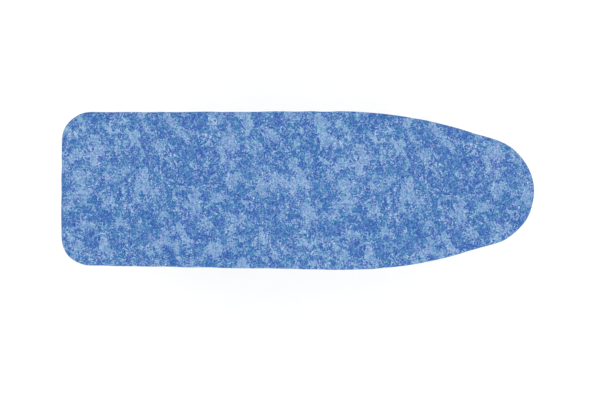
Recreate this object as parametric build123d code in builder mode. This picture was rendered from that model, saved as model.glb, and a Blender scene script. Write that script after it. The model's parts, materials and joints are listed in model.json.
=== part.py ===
from build123d import *
import math
import os

# A domestic ironing board on folding X-legs, standing at its highest setting.
#
# All sizes are in millimetres. +X points to the tapered nose, +Y to the left of someone who looks
# towards the nose, and +Z up. The origin is on the floor, below the middle of the board.
#
# The outer leg hinges on the board near the nose. The inner leg crosses it, and the rod through its
# upper end slides along two slotted rails. Both legs have the same length above the crossing, so the
# sliding rod stays level with the hinge. A lock rod runs from the sliding rod through a brake on the
# board. A tilted plate clamps it at any height, and squeezing the release lever sets the plate upright
# and frees it.

# Outline of the covered board, seen from above
board_length = 1140.0
tail_half_width = 184.0  # where the side lines meet the line of the tail edge
side_flare = 0.6  # degrees that each side spreads towards the nose
tail_corner_radius = 68.0
shoulder_radius = 1015.0  # the long bend from the side into the taper
nose_taper = 16.0  # degrees that each side closes towards the nose
nose_radius = 131.0

# Layers of the board
working_height = 870.0  # floor to the top of the cover
cover_thickness = 0.8
skin_gap = 0.2  # between the cover and what it is stretched over
pad_thickness = 6.0
pad_edge_radius = 5.0
cover_edge_radius = 6.0
hem_reach = 42.0  # from the outer edge in to the hem's inner edge
hem_width = 9.0
hem_depth = 3.2
elastic_width = 5.0
elastic_thickness = 1.0

# Deck and frame under the pad
deck_thickness = 0.8
vent_radius = 8.0  # hexagonal steam vents, centre to corner
vent_pitch = 32.0
vent_margin = 14.0  # from a vent's corner to the rim tube's axis
rim_diameter = 16.0
rim_wall = 1.2
rim_joint_gap = 0.6
ferrule_length = 60.0
ferrule_wall = 1.5
brace_depth = 14.0
brace_width = 40.0
brace_wall = 1.2

# Linkage
hinge_drop = 48.0  # from the top of the cover down to the hinge axis
hinge_setback = 305.0  # from the nose tip back to the outer leg's hinge
hem_to_rail = 13.0  # along the board, the hem's inner edge to the rails' tail ends
hem_to_bracket = 6.0  # across the board, the hem's inner edge to the leg brackets
lower_leg_length = 640.0  # crossing to foot axis, on both legs
leg_tube_diameter = 22.0
leg_tube_wall = 1.2
leg_stub = 14.0  # tube beyond the upper axis
plug_head = 3.0
plug_taper = 30.0  # degrees, on the side of the head
plug_clear_of_pin = 2.0
foot_tube_diameter = 25.0
foot_tube_wall = 1.2
outer_foot_length = 372.0
inner_foot_length = 336.0
cap_wall = 3.0
cap_sleeve = 34.0
cross_tube_diameter = 16.0
cross_tube_wall = 1.0
cross_tube_drop = 300.0  # from the crossing down to the cross tube
running_clearance = 0.05  # radial, between a pin and what turns on it
weld_gap = 0.05  # between pieces that are welded edge to edge

# Hinges and crossing
bolt_diameter = 8.0
bolt_head_width = 13.0  # across flats
bolt_head_height = 5.0
flat_head_height = 3.0
flat_head_diameter = 16.0
nut_height = 6.5
bolt_tail = 1.5  # thread that shows beyond the nut
washer_diameter = 16.0  # of the hinge washers and the crossing spacers
crossing_spacer = 10.0
hinge_washer = 1.0
bracket_wall = 2.5
bracket_length = 40.0
bracket_below_axis = 14.0

# Guide rails and slider
rail_wall = 2.0
rail_flange = 18.0
rail_to_housing = 12.0  # across the board, the rails' flanges to the brake housing
rail_below_slot = 7.0
rail_end = 20.0  # rail beyond the slider's axis at each end of its travel
slider_rod_diameter = 10.0
roller_hub_diameter = 14.0
roller_flange_diameter = 20.0
roller_flange = 3.0
roller_side_gap = 0.5
slot_clearance = 0.2
end_cap_length = 5.0
end_cap_depth = 2.0  # how far the rod goes into each end cap
end_cap_diameter = 16.0

# Lock rod, brake and release lever
lock_rod_diameter = 10.0
lock_eye_diameter = 17.0
lock_eye_length = 18.0
lock_eye_weld = 2.0  # how far the bar goes into the eye
stop_diameter = 15.0
stop_length = 14.0
stop_end_wall = 4.0
brake_offset = 140.0  # slider axis to lever shaft, board raised
housing_length = 64.0
housing_width = 46.0
housing_wall = 2.0
housing_below_rod = 13.0
rod_guide_clearance = 0.3
shaft_diameter = 8.0
shaft_above_rod = 18.0
plate_thickness = 4.0
plate_width = 26.0
plate_below_rod = 12.0
plate_tilt = 6.0  # degrees, the brake's grip and the lever's travel
plate_hole_clearance = 0.5  # radial, which the tilted plate takes up
plate_hub_wall = 2.0
spring_wire = 1.4
spring_diameter = 16.0
spring_turns = 6
arm_thickness = 4.0
arm_height = 12.0
arm_drop = 19.0  # lever shaft down to the arm's axis
arm_boss_diameter = 14.0
arm_length = 112.0
arm_to_leg = 14.0  # outer leg's tube to the arm's inner face
grip_length = 88.0
grip_width = 22.0
grip_height = 14.0
grip_end_wall = 4.0
grip_edge_radius = 5.0
shaft_end = 2.0  # shaft beyond the arm, and beyond the clip
clip_width = 3.0
clip_wall = 4.0
clip_gap = 1.0  # clip to housing
bearing_length = 26.0
bearing_rivet_reach = 8.0
bearing_below_shaft = 7.0
rivet_diameter = 4.8
rivet_head_diameter = 9.0
rivet_head_height = 1.8
rivet_head_rounding = 1.26
rivet_to_edge = 8.0  # along the sheet, from a rivet to the sheet's edge

# Levels, from the top down
pad_top = working_height - cover_thickness
deck_top = pad_top - pad_thickness
rim_top = deck_top - deck_thickness
rim_axis_z = rim_top - rim_diameter / 2
rim_bottom = rim_top - rim_diameter
hem_top = rim_bottom - skin_gap
brace_bottom = rim_top - brace_depth
hinge_z = working_height - hinge_drop
foot_axis_z = foot_tube_diameter / 2 + cap_wall
shaft_z = hinge_z + shaft_above_rod

# How far each layer lies inside the outer edge
pad_inset = cover_thickness + skin_gap
rim_axis_inset = pad_inset + rim_diameter / 2
rim_inner_inset = pad_inset + rim_diameter

# Places along the board
tail_x = -board_length / 2
nose_x = board_length / 2
hinge_x = nose_x - hinge_setback
rail_tail_x = tail_x + hem_reach + hem_to_rail
slider_folded_x = rail_tail_x + rail_end
upper_leg_length = (hinge_x - slider_folded_x) / 2
leg_length = upper_leg_length + lower_leg_length
leg_angle = math.asin((hinge_z - foot_axis_z) / leg_length)  # from the horizontal, board raised
slider_x = hinge_x - 2 * upper_leg_length * math.cos(leg_angle)
crossing_x = hinge_x - upper_leg_length * math.cos(leg_angle)
crossing_z = hinge_z - upper_leg_length * math.sin(leg_angle)
outer_foot_x = hinge_x - leg_length * math.cos(leg_angle)
inner_foot_x = slider_x + leg_length * math.cos(leg_angle)
brake_x = slider_x + brake_offset
rail_nose_x = slider_x + rail_end

# Centres of the outline's arcs, which stay put when the outline is drawn in
flare = math.radians(side_flare)
taper = math.radians(nose_taper)
corner_centre = (
    tail_x + tail_corner_radius,
    tail_half_width + tail_corner_radius * (math.tan(flare) - 1 / math.cos(flare)),
)
nose_centre = (nose_x - nose_radius, 0.0)
side_reach = -math.sin(flare) * tail_x + math.cos(flare) * tail_half_width - shoulder_radius
taper_reach = math.sin(taper) * nose_centre[0] + nose_radius - shoulder_radius
shoulder_centre = (
    (math.cos(flare) * taper_reach - math.cos(taper) * side_reach) / math.sin(flare + taper),
    (math.sin(flare) * taper_reach + math.sin(taper) * side_reach) / math.sin(flare + taper),
)

SIDES = {"left": 1, "right": -1}
os.makedirs("parts", exist_ok=True)


def finish(builder, name):
    """Labels a finished piece and writes it as its own STEP file."""
    builder.part.label = name
    export_step(builder.part, f"parts/{name}.step")


def draw_outline(inset, tail_y=0.0):
    """Draws the outline, moved in by inset: its left half from the tail (at tail_y), then its mirror."""
    corner = CenterArc(corner_centre, tail_corner_radius - inset, 180, side_flare - 90)
    shoulder = CenterArc(
        shoulder_centre, shoulder_radius - inset, 90 + side_flare, -side_flare - nose_taper
    )
    nose = CenterArc(nose_centre, nose_radius - inset, 90 - nose_taper, nose_taper - 90)
    Line((tail_x + inset, tail_y), corner @ 0)
    Line(corner @ 1, shoulder @ 0)
    Line(shoulder @ 1, nose @ 0)
    mirror(about=Plane.XZ)


def board_face(inset):
    """The whole outline as a face, drawn in by inset."""
    with BuildSketch(Plane.XY) as face:
        with BuildLine():
            draw_outline(inset)
        make_face()
    return face.sketch


def half_width(x, inset):
    """Half the width of the outline, drawn in by inset, at a place along the board."""
    shoulder_start = shoulder_centre[0] - (shoulder_radius - inset) * math.sin(flare)
    shoulder_end = shoulder_centre[0] + (shoulder_radius - inset) * math.sin(taper)
    nose_start = nose_centre[0] + (nose_radius - inset) * math.sin(taper)

    def arc(centre, radius):
        return centre[1] + math.sqrt(max(radius**2 - (x - centre[0]) ** 2, 0.0))

    if x < corner_centre[0]:
        return arc(corner_centre, tail_corner_radius - inset)
    if x < shoulder_start:
        return tail_half_width + (x - tail_x) * math.tan(flare) - inset / math.cos(flare)
    if x < shoulder_end:
        return arc(shoulder_centre, shoulder_radius - inset)
    if x < nose_start:
        return (nose_radius - inset - (x - nose_centre[0]) * math.sin(taper)) / math.cos(taper)
    return arc(nose_centre, nose_radius - inset)


# Places across the board. The legs stand inside the hem, and the rails stand beside the brake housing.
bracket_outer_y = half_width(hinge_x + bracket_length / 2, hem_reach) - hem_to_bracket
outer_ear_y = bracket_outer_y - bracket_wall
outer_leg_y = outer_ear_y - hinge_washer - leg_tube_diameter / 2
inner_ear_y = outer_leg_y - leg_tube_diameter / 2 - hinge_washer
inner_leg_y = outer_leg_y - leg_tube_diameter - crossing_spacer
rail_outer_y = housing_width / 2 + rail_to_housing + rail_flange
rail_inner_y = rail_outer_y - rail_wall
arm_inner_y = outer_leg_y + leg_tube_diameter / 2 + arm_to_leg
bearing_outer_y = arm_inner_y - 2 * weld_gap


def side_plane(y):
    """The upright plane along the board at that y, with X to the right and Z up."""
    return Plane.XZ.offset(-y)


def rod_across(x, z, y_ends, radius, bore=0.0, mode=Mode.ADD):
    """Adds a round bar, or a ring if it has a bore, that lies across the board between two y values."""
    length = abs(y_ends[1] - y_ends[0])
    with Locations((x, (y_ends[0] + y_ends[1]) / 2, z)):
        Cylinder(radius, length, rotation=(90, 0, 0), mode=mode)
        if bore:
            Cylinder(bore, length, rotation=(90, 0, 0), mode=Mode.SUBTRACT)


def block(x_ends, y_ends, z_ends, mode=Mode.ADD):
    """Adds a box between two values of each of x, y and z."""
    ends = (x_ends, y_ends, z_ends)
    with Locations(tuple((low + high) / 2 for low, high in ends)):
        Box(*(abs(high - low) for low, high in ends), mode=mode)


def rivets(places, plate_bottom, grip):
    """Adds a rivet at each (x, y): a shank through the sheets, with a round head at each end."""
    upright = (Align.CENTER, Align.CENTER, Align.MIN)
    for z in (plate_bottom - rivet_head_height, plate_bottom + grip):
        with Locations(*((x, y, z) for x, y in places)):
            Cylinder(rivet_head_diameter / 2, rivet_head_height, align=upright)
    with Locations(*((x, y, plate_bottom) for x, y in places)):
        Cylinder(rivet_diameter / 2, grip, align=upright)
    levels = faces().filter_by(Axis.Z).group_by(Axis.Z)
    fillet(levels[0].edges() + levels[-1].edges(), rivet_head_rounding)


def rivet_holes(places, z_low, z_high):
    """Cuts the rivets' holes through the sheets between two levels."""
    with Locations(*((x, y, (z_low + z_high) / 2) for x, y in places)):
        Cylinder(rivet_diameter / 2 + running_clearance, z_high - z_low, mode=Mode.SUBTRACT)


# Rivet places, shared by the sheets that they join
bracket_rivet_reach = bracket_length / 2 - rivet_to_edge
bracket_rivets = [
    (hinge_x + end * bracket_rivet_reach, sign * outer_leg_y) for end in (-1, 1) for sign in (1, -1)
]
rail_flange_y = rail_outer_y - rail_flange / 2
front_rail_brace_x = slider_x - rail_end
rear_rail_brace_x = slider_folded_x + rail_end
rail_rivets = [
    (x, sign * rail_flange_y) for x in (front_rail_brace_x, rear_rail_brace_x) for sign in (1, -1)
]
housing_rivets = [(brake_x + end * bearing_length / 2, 0.0) for end in (-1, 1)]
bearing_rivet_y = bearing_outer_y - bearing_length / 2
bearing_rivets = [(brake_x + end * bearing_rivet_reach, -bearing_rivet_y) for end in (-1, 1)]


# --- Cover: a printed cotton skin drawn round the edge, with a hem casing underneath
with BuildPart() as cover_hollow:
    with BuildSketch(Plane.XY.offset(hem_top)):
        add(board_face(cover_thickness))
    extrude(amount=pad_top - hem_top)
    fillet(cover_hollow.faces().filter_by(Axis.Z).edges(), cover_edge_radius - cover_thickness)
with BuildPart() as cover:
    with BuildSketch(Plane.XY.offset(hem_top - cover_thickness)):
        add(board_face(0))
    extrude(amount=working_height - hem_top + cover_thickness)
    fillet(cover.faces().filter_by(Axis.Z).edges(), cover_edge_radius)
    add(cover_hollow.part, mode=Mode.SUBTRACT)
    with BuildSketch(Plane.XY.offset(hem_top - cover_thickness)):
        add(board_face(hem_reach))
    extrude(amount=cover_thickness, mode=Mode.SUBTRACT)
    with BuildSketch(Plane.XY.offset(hem_top - hem_depth)):
        add(board_face(hem_reach - hem_width))
        add(board_face(hem_reach), mode=Mode.SUBTRACT)
    extrude(amount=hem_depth)
    with BuildSketch(Plane.XY.offset(hem_top - hem_depth + cover_thickness)):
        add(board_face(hem_reach - hem_width + cover_thickness))
        add(board_face(hem_reach - cover_thickness), mode=Mode.SUBTRACT)
    extrude(amount=hem_depth - 2 * cover_thickness, mode=Mode.SUBTRACT)
finish(cover, "cover")

# --- Hem elastic: a flat braid that runs all round inside the hem casing
elastic_inset = hem_reach - hem_width / 2 - elastic_width / 2
with BuildPart() as hem_elastic:
    with BuildSketch(Plane.XY.offset(hem_top - hem_depth / 2 - elastic_thickness / 2)):
        add(board_face(elastic_inset))
        add(board_face(elastic_inset + elastic_width), mode=Mode.SUBTRACT)
    extrude(amount=elastic_thickness)
finish(hem_elastic, "hem_elastic")

# --- Felt pad: lies on the deck, out to the rim's outer side, with its upper edge rounded off
with BuildPart() as felt_pad:
    with BuildSketch(Plane.XY.offset(deck_top)):
        add(board_face(pad_inset))
    extrude(amount=pad_thickness)
    fillet(felt_pad.faces().sort_by(Axis.Z)[-1].edges(), pad_edge_radius)
finish(felt_pad, "felt_pad")

# --- Deck: thin steel sheet with rows of hexagonal vents that let steam through
def vent_places():
    """Centres of the vents: staggered rows that stay clear of the rim."""
    row_pitch = vent_pitch * math.sqrt(3) / 2
    edge = rim_axis_inset + vent_margin
    rows = int(half_width(0, edge) / row_pitch)
    columns = int(board_length / vent_pitch)
    for row in range(-rows, rows + 1):
        for column in range(-columns, columns + 1):
            x = (column + (row % 2) / 2) * vent_pitch
            y = row * row_pitch
            reach = abs(x) + vent_radius
            inside = reach < board_length / 2 - edge
            if inside and abs(y) + vent_radius < min(
                half_width(x - vent_radius, edge), half_width(x + vent_radius, edge)
            ):
                yield x, y


with BuildPart() as deck:
    with BuildSketch(Plane.XY.offset(rim_top)):
        add(board_face(rim_axis_inset))
        with Locations(*vent_places()):
            RegularPolygon(vent_radius, 6, mode=Mode.SUBTRACT)
    extrude(amount=deck_thickness)
finish(deck, "deck")

# --- Rim tube: one bent steel tube, with its two ends butted at the middle of the tail
with BuildPart() as rim_tube:
    with BuildLine(Plane.XY.offset(rim_axis_z)) as rim_path:
        draw_outline(rim_axis_inset, rim_joint_gap / 2)
    rim_wire = rim_path.wires()[0]
    with BuildSketch(Plane(origin=rim_wire @ 0, z_dir=rim_wire % 0)):
        Circle(rim_diameter / 2)
        Circle(rim_diameter / 2 - rim_wall, mode=Mode.SUBTRACT)
    sweep(path=rim_wire)
finish(rim_tube, "rim_tube")

# --- Rim ferrule: the short tube pressed inside the rim's two ends
ferrule_radius = rim_diameter / 2 - rim_wall - running_clearance
with BuildPart() as rim_ferrule:
    rod_across(
        tail_x + rim_axis_inset,
        rim_axis_z,
        (-ferrule_length / 2, ferrule_length / 2),
        ferrule_radius,
        ferrule_radius - ferrule_wall,
    )
finish(rim_ferrule, "rim_ferrule")

# --- Braces: open channels welded across the rim, under the deck
brace_places = {
    "nose_brace": (hinge_x, bracket_rivets),
    "brake_brace": (brake_x, housing_rivets + bearing_rivets),
    "front_rail_brace": (front_rail_brace_x, rail_rivets[:2]),
    "rear_rail_brace": (rear_rail_brace_x, rail_rivets[2:]),
}
for name, (brace_x, places) in brace_places.items():
    with BuildPart() as brace:
        span = (brace_x - brace_width / 2, brace_x + brace_width / 2)
        hollow = (span[0] + brace_wall, span[1] - brace_wall)
        reach = tail_half_width + board_length * math.tan(flare)
        block(span, (-reach, reach), (brace_bottom, rim_top))
        block(hollow, (-reach, reach), (brace_bottom + brace_wall, rim_top), mode=Mode.SUBTRACT)
        with BuildSketch(Plane.XY.offset(brace_bottom)):
            add(board_face(rim_inner_inset + weld_gap))
        extrude(amount=brace_depth, mode=Mode.INTERSECT)
        rivet_holes(places, brace_bottom, brace_bottom + brace_wall)
    finish(brace, name)

# --- Guide rails: angle sections with a long slot in the upright wall
rail_bottom = hinge_z - roller_hub_diameter / 2 - rail_below_slot
for side, sign in SIDES.items():
    with BuildPart() as rail:
        wall_span = (sign * rail_outer_y, sign * rail_inner_y)
        flange_span = (sign * rail_outer_y, sign * (rail_outer_y - rail_flange))
        block((rail_tail_x, rail_nose_x), wall_span, (rail_bottom, brace_bottom))
        block((rail_tail_x, rail_nose_x), flange_span, (brace_bottom - rail_wall, brace_bottom))
        with BuildSketch(side_plane(sign * rail_outer_y)):
            with Locations(((slider_x + slider_folded_x) / 2, hinge_z)):
                SlotCenterToCenter(
                    slider_x - slider_folded_x, roller_hub_diameter + 2 * slot_clearance
                )
        extrude(amount=rail_wall, both=True, mode=Mode.SUBTRACT)
        own_rivets = [place for place in rail_rivets if place[1] * sign > 0]
        rivet_holes(own_rivets, brace_bottom - rail_wall, brace_bottom)
    finish(rail, f"guide_rail_{side}")

# --- Leg brackets: channels under the nose brace, with an ear each side of the outer leg
ear_bottom = hinge_z - bracket_below_axis
bolt_bore = bolt_diameter / 2 + running_clearance
bracket_span = (hinge_x - bracket_length / 2, hinge_x + bracket_length / 2)
for side, sign in SIDES.items():
    with BuildPart() as bracket:
        inner, outer = sign * (inner_ear_y - bracket_wall), sign * (outer_ear_y + bracket_wall)
        block(bracket_span, (inner, outer), (brace_bottom - bracket_wall, brace_bottom))
        for ear_y in (sign * (inner_ear_y - bracket_wall / 2), sign * (outer_ear_y + bracket_wall / 2)):
            with BuildSketch(side_plane(ear_y)):
                with BuildLine():
                    nose_end = (hinge_x + bracket_below_axis, hinge_z)
                    tail_end = (hinge_x - bracket_below_axis, hinge_z)
                    ThreePointArc(nose_end, (hinge_x, ear_bottom), tail_end)
                    Polyline(
                        tail_end,
                        (bracket_span[0], brace_bottom),
                        (bracket_span[1], brace_bottom),
                        nose_end,
                    )
                make_face()
            extrude(amount=bracket_wall / 2, both=True)
        rod_across(hinge_x, hinge_z, (inner, outer), bolt_bore, mode=Mode.SUBTRACT)
        own_rivets = [place for place in bracket_rivets if place[1] * sign > 0]
        rivet_holes(own_rivets, brace_bottom - bracket_wall, brace_bottom)
    finish(bracket, f"leg_bracket_{side}")

# --- Hinge bolts, with a flat head inside so that the inner leg passes it, and their nuts outside
head_face = inner_ear_y - bracket_wall
nut_face = bracket_outer_y
with BuildPart() as hinge_bolts:
    for sign in SIDES.values():
        head = (sign * (head_face - flat_head_height), sign * head_face)
        shank = (sign * head_face, sign * (nut_face + nut_height + bolt_tail))
        rod_across(hinge_x, hinge_z, head, flat_head_diameter / 2)
        rod_across(hinge_x, hinge_z, shank, bolt_diameter / 2)
finish(hinge_bolts, "hinge_bolts")
with BuildPart() as hinge_nuts:
    for sign in SIDES.values():
        with BuildSketch(side_plane(sign * (nut_face + nut_height / 2))):
            with Locations((hinge_x, hinge_z)):
                RegularPolygon(bolt_head_width / 2, 6, major_radius=False)
                Circle(bolt_bore, mode=Mode.SUBTRACT)
        extrude(amount=nut_height / 2, both=True)
finish(hinge_nuts, "hinge_nuts")

# --- Hinge washers: nylon, one on each side of each outer leg tube
with BuildPart() as hinge_washers:
    for sign in SIDES.values():
        for low in (inner_ear_y, outer_ear_y - hinge_washer + running_clearance):
            ring = (sign * low, sign * (low + hinge_washer - running_clearance))
            rod_across(hinge_x, hinge_z, ring, washer_diameter / 2, bolt_bore)
finish(hinge_washers, "hinge_washers")

# --- Brake housing: a pressed box, open underneath, that guides the lock rod
housing_x = (brake_x - housing_length / 2, brake_x + housing_length / 2)
housing_bottom = hinge_z - housing_below_rod
shaft_bore = shaft_diameter / 2 + running_clearance
with BuildPart() as brake_housing:
    block(housing_x, (-housing_width / 2, housing_width / 2), (housing_bottom, brace_bottom))
    fillet(brake_housing.edges().filter_by(Axis.Z), 2 * housing_wall)
    block(
        (housing_x[0] + housing_wall, housing_x[1] - housing_wall),
        (housing_wall - housing_width / 2, housing_width / 2 - housing_wall),
        (housing_bottom, brace_bottom - housing_wall),
        mode=Mode.SUBTRACT,
    )
    with BuildSketch(Plane.YZ.offset(housing_x[0])):
        with Locations((0, hinge_z)):
            Circle(lock_rod_diameter / 2 + rod_guide_clearance)
    extrude(amount=housing_length, mode=Mode.SUBTRACT)
    rod_across(
        brake_x, shaft_z, (-housing_width / 2, housing_width / 2), shaft_bore, mode=Mode.SUBTRACT
    )
    rivet_holes(housing_rivets, brace_bottom - housing_wall, brace_bottom)
finish(brake_housing, "brake_housing")

# --- Shaft bearing: an angle plate that holds the lever shaft beside the arm
with BuildPart() as shaft_bearing:
    bearing_x = (brake_x - bearing_length / 2, brake_x + bearing_length / 2)
    plate_y = (-bearing_outer_y, housing_wall - bearing_outer_y)
    flange_y = (-bearing_outer_y, bearing_length - bearing_outer_y)
    block(bearing_x, plate_y, (shaft_z - bearing_below_shaft, brace_bottom))
    block(bearing_x, flange_y, (brace_bottom - housing_wall, brace_bottom))
    rod_across(brake_x, shaft_z, plate_y, shaft_bore, mode=Mode.SUBTRACT)
    rivet_holes(bearing_rivets, brace_bottom - housing_wall, brace_bottom)
finish(shaft_bearing, "shaft_bearing")

# --- Rivets, in one group for each thing that they hold
rivet_groups = {
    "bracket_rivets": (bracket_rivets, bracket_wall),
    "rail_rivets": (rail_rivets, rail_wall),
    "brake_rivets": (housing_rivets + bearing_rivets, housing_wall),
}
for name, (places, sheet) in rivet_groups.items():
    with BuildPart() as rivet_group:
        rivets(places, brace_bottom - sheet, sheet + brace_wall)
    finish(rivet_group, name)

# --- Brake spring: a coil round the lock rod that holds the clamp plate tilted
plate_face_x = brake_x + plate_thickness / 2 / math.cos(math.radians(plate_tilt)) - (
    shaft_above_rod - spring_diameter / 2
) * math.tan(math.radians(plate_tilt))
spring_x = (plate_face_x + skin_gap, housing_x[1] - housing_wall)
spring_run = spring_x[1] - spring_x[0] - spring_wire
spring_mean_radius = (spring_diameter - spring_wire) / 2
with BuildPart() as brake_spring:
    with BuildLine() as coil:
        Helix(
            spring_run / spring_turns,
            spring_run,
            spring_mean_radius,
            center=(spring_x[0] + spring_wire / 2, 0, hinge_z),
            direction=(1, 0, 0),
        )
    with BuildSketch(Plane(origin=coil.line @ 0, z_dir=coil.line % 0)):
        Circle(spring_wire / 2)
    sweep(path=coil.line, is_frenet=True)
finish(brake_spring, "brake_spring")


# --- Legs: the outer leg hangs from the brackets, and the inner leg from the sliding rod
foot_radius = foot_tube_diameter / 2
tube_radius = leg_tube_diameter / 2
legs = {
    "outer": (hinge_x, outer_foot_x, outer_leg_y, outer_foot_length, bolt_diameter / 2),
    "inner": (slider_x, inner_foot_x, inner_leg_y, inner_foot_length, slider_rod_diameter / 2),
}
for leg, (top_x, foot_x, leg_y, foot_length, pin_radius) in legs.items():
    down = Vector(foot_x - top_x, 0, foot_axis_z - hinge_z).normalized()

    # Leg tubes: drilled for the upper pin and the crossing bolt, and coped on to the foot tube
    for side, sign in SIDES.items():
        tube_top = Vector(top_x, sign * leg_y, hinge_z) - down * leg_stub
        through = (sign * leg_y - tube_radius, sign * leg_y + tube_radius)
        with BuildPart() as tube:
            with BuildSketch(Plane(origin=tube_top, x_dir=(0, 1, 0), z_dir=down)):
                Circle(tube_radius)
                Circle(tube_radius - leg_tube_wall, mode=Mode.SUBTRACT)
            extrude(amount=leg_stub + leg_length)
            rod_across(foot_x, foot_axis_z, through, foot_radius + weld_gap, mode=Mode.SUBTRACT)
            pin_bore = pin_radius + running_clearance
            rod_across(top_x, hinge_z, through, pin_bore, mode=Mode.SUBTRACT)
            rod_across(crossing_x, crossing_z, through, bolt_bore, mode=Mode.SUBTRACT)
        finish(tube, f"{leg}_leg_tube_{side}")

    # Plastic plugs in the tubes' upper ends: a stem in the tube, and a head on its end
    stem = leg_stub - pin_radius - plug_clear_of_pin
    with BuildPart() as plugs:
        for sign in SIDES.values():
            tube_end = Vector(top_x, sign * leg_y, hinge_z) - down * leg_stub
            with BuildSketch(Plane(origin=tube_end, x_dir=(0, 1, 0), z_dir=down)):
                Circle(tube_radius - leg_tube_wall - running_clearance)
            extrude(amount=stem)
            with BuildSketch(Plane(origin=tube_end, x_dir=(0, 1, 0), z_dir=-down)):
                Circle(tube_radius)
            extrude(amount=plug_head, taper=plug_taper)
    finish(plugs, f"{leg}_leg_plugs")

    # Foot tube, with a plastic cap on each end that stands on the floor
    with BuildPart() as foot:
        foot_ends = (-foot_length / 2, foot_length / 2)
        rod_across(foot_x, foot_axis_z, foot_ends, foot_radius, foot_radius - foot_tube_wall)
    finish(foot, f"{leg}_foot_tube")
    for side, sign in SIDES.items():
        tube_end_y = sign * foot_length / 2
        cap_end_y = tube_end_y + sign * cap_wall
        sleeve_end_y = cap_end_y - sign * cap_sleeve
        with BuildPart() as cap:
            rod_across(foot_x, foot_axis_z, (sleeve_end_y, cap_end_y), foot_radius + cap_wall)
            outer_face = cap.faces().sort_by(Axis.Y)[-1 if sign > 0 else 0]
            fillet(outer_face.edges(), cap_wall)
            socket = (sleeve_end_y, tube_end_y)
            socket_radius = foot_radius + running_clearance
            rod_across(foot_x, foot_axis_z, socket, socket_radius, mode=Mode.SUBTRACT)
        finish(cap, f"{leg}_foot_cap_{side}")

# --- Crossing: on each side a bolt through both legs, with a spacer between them and a nut inside
crossing_outer_y = outer_leg_y + tube_radius
crossing_inner_y = inner_leg_y - tube_radius - running_clearance
with BuildPart() as crossing_bolts:
    for sign in SIDES.values():
        with BuildSketch(side_plane(sign * (crossing_outer_y + bolt_head_height / 2))):
            with Locations((crossing_x, crossing_z)):
                RegularPolygon(bolt_head_width / 2, 6, major_radius=False)
        extrude(amount=bolt_head_height / 2, both=True)
        shank = (sign * (crossing_inner_y - nut_height - bolt_tail), sign * crossing_outer_y)
        rod_across(crossing_x, crossing_z, shank, bolt_diameter / 2)
finish(crossing_bolts, "crossing_bolts")
with BuildPart() as crossing_nuts:
    for sign in SIDES.values():
        with BuildSketch(side_plane(sign * (crossing_inner_y - nut_height / 2))):
            with Locations((crossing_x, crossing_z)):
                RegularPolygon(bolt_head_width / 2, 6, major_radius=False)
                Circle(bolt_bore, mode=Mode.SUBTRACT)
        extrude(amount=nut_height / 2, both=True)
finish(crossing_nuts, "crossing_nuts")
with BuildPart() as crossing_spacers:
    for sign in SIDES.values():
        middle = sign * (inner_leg_y + outer_leg_y) / 2
        half_length = crossing_spacer / 2 - running_clearance
        ends = (middle - half_length, middle + half_length)
        rod_across(crossing_x, crossing_z, ends, washer_diameter / 2, bolt_bore)
finish(crossing_spacers, "crossing_spacers")

# --- Cross tube between the inner leg's tubes, coped on to both
cross_reach = (upper_leg_length + cross_tube_drop) / leg_length
cross_x = slider_x + cross_reach * (inner_foot_x - slider_x)
cross_z = hinge_z + cross_reach * (foot_axis_z - hinge_z)
cross_radius = cross_tube_diameter / 2
inner_down = Vector(inner_foot_x - slider_x, 0, foot_axis_z - hinge_z).normalized()
with BuildPart() as inner_leg_cross_tube:
    cross_ends = (-inner_leg_y, inner_leg_y)
    rod_across(cross_x, cross_z, cross_ends, cross_radius, cross_radius - cross_tube_wall)
    for sign in SIDES.values():
        start = Vector(slider_x, sign * inner_leg_y, hinge_z)
        with BuildSketch(Plane(origin=start, x_dir=(0, 1, 0), z_dir=inner_down)):
            Circle(tube_radius + weld_gap)
        extrude(amount=leg_length, mode=Mode.SUBTRACT)
finish(inner_leg_cross_tube, "inner_leg_cross_tube")

# --- Slider: the rod through the inner leg's upper end, and what runs in the rails
rod_end_y = inner_leg_y + tube_radius
rod_reach = rod_end_y + end_cap_depth
rod_bore = slider_rod_diameter / 2 + running_clearance
hub_inner_y = rail_inner_y - roller_side_gap
hub_outer_y = rail_outer_y + roller_side_gap
with BuildPart() as slider_rod:
    rod_across(slider_x, hinge_z, (-rod_reach, rod_reach), slider_rod_diameter / 2)
finish(slider_rod, "slider_rod")
for side, sign in SIDES.items():
    with BuildPart() as roller:
        flange = (sign * (hub_inner_y - roller_flange), sign * hub_inner_y)
        hub = (sign * hub_inner_y, sign * hub_outer_y)
        rod_across(slider_x, hinge_z, flange, roller_flange_diameter / 2, rod_bore)
        rod_across(slider_x, hinge_z, hub, roller_hub_diameter / 2, rod_bore)
    finish(roller, f"slider_roller_{side}")
    with BuildPart() as washer:
        ring = (sign * hub_outer_y, sign * (hub_outer_y + roller_flange))
        rod_across(slider_x, hinge_z, ring, roller_flange_diameter / 2, rod_bore)
    finish(washer, f"slider_washer_{side}")
with BuildPart() as slider_caps:
    for sign in SIDES.values():
        cap = (sign * rod_end_y, sign * (rod_end_y + end_cap_length))
        socket = (sign * rod_end_y, sign * (rod_reach + running_clearance))
        rod_across(slider_x, hinge_z, cap, end_cap_diameter / 2)
        rod_across(slider_x, hinge_z, socket, rod_bore, mode=Mode.SUBTRACT)
finish(slider_caps, "slider_caps")

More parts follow.
